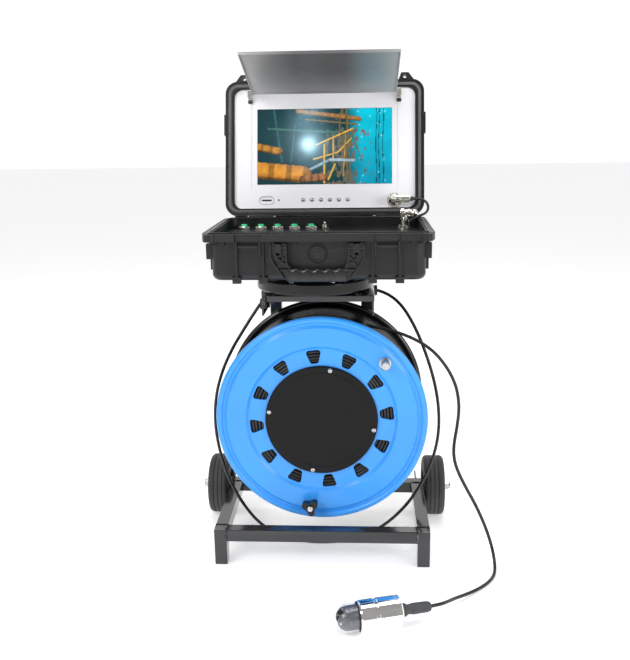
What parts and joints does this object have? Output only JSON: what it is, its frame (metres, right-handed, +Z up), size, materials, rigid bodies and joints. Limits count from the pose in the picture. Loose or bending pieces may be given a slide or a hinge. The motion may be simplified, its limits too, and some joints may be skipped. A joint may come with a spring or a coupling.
{
  "type": "pipe inspection camera",
  "caption": "Pipe inspection camera: case monitor on a swivel over a wheeled cable-reel cart, with a dome camera head on its push cable.",
  "frame": {"origin": "on the floor under the middle of the object without its free cables", "axes": "+Z up, +Y to the back, +X to the user's right facing the screen"},
  "size_m": [0.4787, 0.4919, 0.7634],
  "materials": {
    "frame_black": "gloss black enamel",
    "turntable_black": "satin black",
    "steel": "zinc plated",
    "flange_blue": "gloss powder coat",
    "flange_black": "gloss black enamel",
    "cover_black": "fine grain",
    "cable_black": "extruded jacket",
    "gland_black": "moulded nylon",
    "inner_plastic": "moulded",
    "tyre_rubber": "solid rubber",
    "hub_grey": "moulded",
    "case_black": "moulded polypropylene, fine grain",
    "panel_black": "satin sheet",
    "panel_white": "satin white",
    "shade_grey": "satin grey",
    "screen": "lit display",
    "key_white": "moulded",
    "button_green": "translucent green",
    "nickel": "nickel plated",
    "board_green": "solder mask",
    "polished_steel": "polished stainless",
    "dome_clear": "clear polycarbonate",
    "camera_black": "moulded",
    "boot_rubber": "soft moulded"
  },
  "bodies": {
    "cart": {"base_frame": "frame_black", "rear_posts": "frame_black", "top_bracket": "frame_black", "cable_glands": "gland_black", "reel_spindle": "steel", "wheel_axle": "steel", "swivel_bearing": "steel", "camera_dome": "dome_clear", "camera_shell": "polished_steel", "head_drive": "inner_plastic", "strain_relief": "boot_rubber", "lead_cable": "cable_black", "camera_cable": "cable_black"},
    "reel": {"front_flange": "flange_blue", "rear_flange": "flange_black", "reel_drum": "flange_black", "reel_bearings": "steel", "slip_ring": "inner_plastic", "wound_cable": "cable_black", "hub_cover": "cover_black", "hub_screws": "steel", "flange_posts": "steel"},
    "knob": {"lock_knob": "cover_black"},
    "wheel_left": {"tyre_left": "tyre_rubber", "wheel_hub_left": "hub_grey"},
    "wheel_right": {"tyre_right": "tyre_rubber", "wheel_hub_right": "hub_grey"},
    "case": {"turntable_disc": "turntable_black", "case_base": "case_black", "hinge_pins": "steel", "base_panel": "panel_black", "switch_collars": "nickel", "bnc_tee": "nickel", "purge_valve": "case_black", "battery_pack": "inner_plastic", "control_board": "board_green", "jumper_cable": "cable_black"},
    "handle": {"carry_handle": "case_black"},
    "toggle": {"toggle_lever": "nickel"},
    "lid": {"lid_shell": "case_black", "lid_panel": "panel_white", "display_module": "screen", "shade_brackets": "nickel", "lid_plug": "nickel"},
    "shade": {"sunshade": "shade_grey"},
    "latch_left_arm": {"latch_left": "case_black"},
    "latch_right_arm": {"latch_right": "case_black"},
    "camera_pan": {"pan_yoke": "camera_black"},
    "camera_tilt": {"camera_eye": "camera_black"},
    "button_1": {"push_button_1": "button_green"},
    "button_2": {"push_button_2": "button_green"},
    "button_3": {"push_button_3": "button_green"},
    "button_4": {"push_button_4": "button_green"},
    "button_5": {"push_button_5": "button_green"},
    "key_1": {"panel_key_1": "key_white"},
    "key_2": {"panel_key_2": "key_white"},
    "key_3": {"panel_key_3": "key_white"},
    "key_4": {"panel_key_4": "key_white"},
    "key_5": {"panel_key_5": "key_white"},
    "key_6": {"panel_key_6": "key_white"}
  },
  "joints": [
    {"name": "reel_spin", "type": "hinge", "parent": "cart", "child": "reel", "pos_m": [0, 0, 0.221], "axis": [0, 1, 0], "continuous": true},
    {"name": "knob_turn", "type": "hinge", "parent": "reel", "child": "knob", "pos_m": [-0.01788, -0.035, 0.08517], "axis": [0, 1, 0], "continuous": true},
    {"name": "wheel_left_spin", "type": "hinge", "parent": "cart", "child": "wheel_left", "pos_m": [-0.184, 0.133, 0.0505], "axis": [1, 0, 0], "continuous": true},
    {"name": "wheel_right_spin", "type": "hinge", "parent": "cart", "child": "wheel_right", "pos_m": [0.184, 0.133, 0.0505], "axis": [1, 0, 0], "continuous": true},
    {"name": "case_swivel", "type": "hinge", "parent": "cart", "child": "case", "pos_m": [-0.01, 0.037, 0.438], "axis": [0, 0, 1], "range_deg": [-60, 60]},
    {"name": "handle_swing", "type": "hinge", "parent": "case", "child": "handle", "pos_m": [0, -0.071, 0.493], "axis": [-1, 0, 0], "range_deg": [0, 90]},
    {"name": "toggle_tip", "type": "hinge", "parent": "case", "child": "toggle", "pos_m": [0.002, 0.124, 0.497], "axis": [1, 0, 0], "range_deg": [-10, 10]},
    {"name": "lid_hinge", "type": "hinge", "parent": "case", "child": "lid", "pos_m": [0, 0.155, 0.5135], "axis": [1, 0, 0], "range_deg": [0, 35], "deforming": ["jumper_cable"]},
    {"name": "shade_fold", "type": "hinge", "parent": "lid", "child": "shade", "pos_m": [0, 0.20132, 0.71168], "axis": [1, 0, 0], "range_deg": [-12, 90]},
    {"name": "latch_left_lift", "type": "hinge", "parent": "lid", "child": "latch_left_arm", "pos_m": [-0.097, 0.22568, 0.73086], "axis": [-1, 0, 0], "range_deg": [0, 90]},
    {"name": "latch_right_lift", "type": "hinge", "parent": "lid", "child": "latch_right_arm", "pos_m": [0.097, 0.22568, 0.73086], "axis": [-1, 0, 0], "range_deg": [0, 90]},
    {"name": "camera_pan_turn", "type": "hinge", "parent": "cart", "child": "camera_pan", "pos_m": [0.06094, -0.22606, 0.0215], "axis": [0.9615, 0.2748, 0], "range_deg": [-170, 170]},
    {"name": "camera_tilt_turn", "type": "hinge", "parent": "camera_pan", "child": "camera_tilt", "pos_m": [0.04411, -0.23087, 0.0215], "axis": [0.2748, -0.9615, 0], "range_deg": [-60, 60]},
    {"name": "button_1_press", "type": "slide", "parent": "case", "child": "button_1", "axis": [0, 0, -1], "range_m": [0, 0.003], "stiffness_N_per_m": 300},
    {"name": "button_2_press", "type": "slide", "parent": "case", "child": "button_2", "axis": [0, 0, -1], "range_m": [0, 0.003], "stiffness_N_per_m": 300},
    {"name": "button_3_press", "type": "slide", "parent": "case", "child": "button_3", "axis": [0, 0, -1], "range_m": [0, 0.003], "stiffness_N_per_m": 300},
    {"name": "button_4_press", "type": "slide", "parent": "case", "child": "button_4", "axis": [0, 0, -1], "range_m": [0, 0.003], "stiffness_N_per_m": 300},
    {"name": "button_5_press", "type": "slide", "parent": "case", "child": "button_5", "axis": [0, 0, -1], "range_m": [0, 0.003], "stiffness_N_per_m": 300},
    {"name": "key_1_press", "type": "slide", "parent": "lid", "child": "key_1", "axis": [0, 0.9703, -0.2419], "range_m": [0, 0.0012], "stiffness_N_per_m": 300},
    {"name": "key_2_press", "type": "slide", "parent": "lid", "child": "key_2", "axis": [0, 0.9703, -0.2419], "range_m": [0, 0.0012], "stiffness_N_per_m": 300},
    {"name": "key_3_press", "type": "slide", "parent": "lid", "child": "key_3", "axis": [0, 0.9703, -0.2419], "range_m": [0, 0.0012], "stiffness_N_per_m": 300},
    {"name": "key_4_press", "type": "slide", "parent": "lid", "child": "key_4", "axis": [0, 0.9703, -0.2419], "range_m": [0, 0.0012], "stiffness_N_per_m": 300},
    {"name": "key_5_press", "type": "slide", "parent": "lid", "child": "key_5", "axis": [0, 0.9703, -0.2419], "range_m": [0, 0.0012], "stiffness_N_per_m": 300},
    {"name": "key_6_press", "type": "slide", "parent": "lid", "child": "key_6", "axis": [0, 0.9703, -0.2419], "range_m": [0, 0.0012], "stiffness_N_per_m": 300}
  ]
}
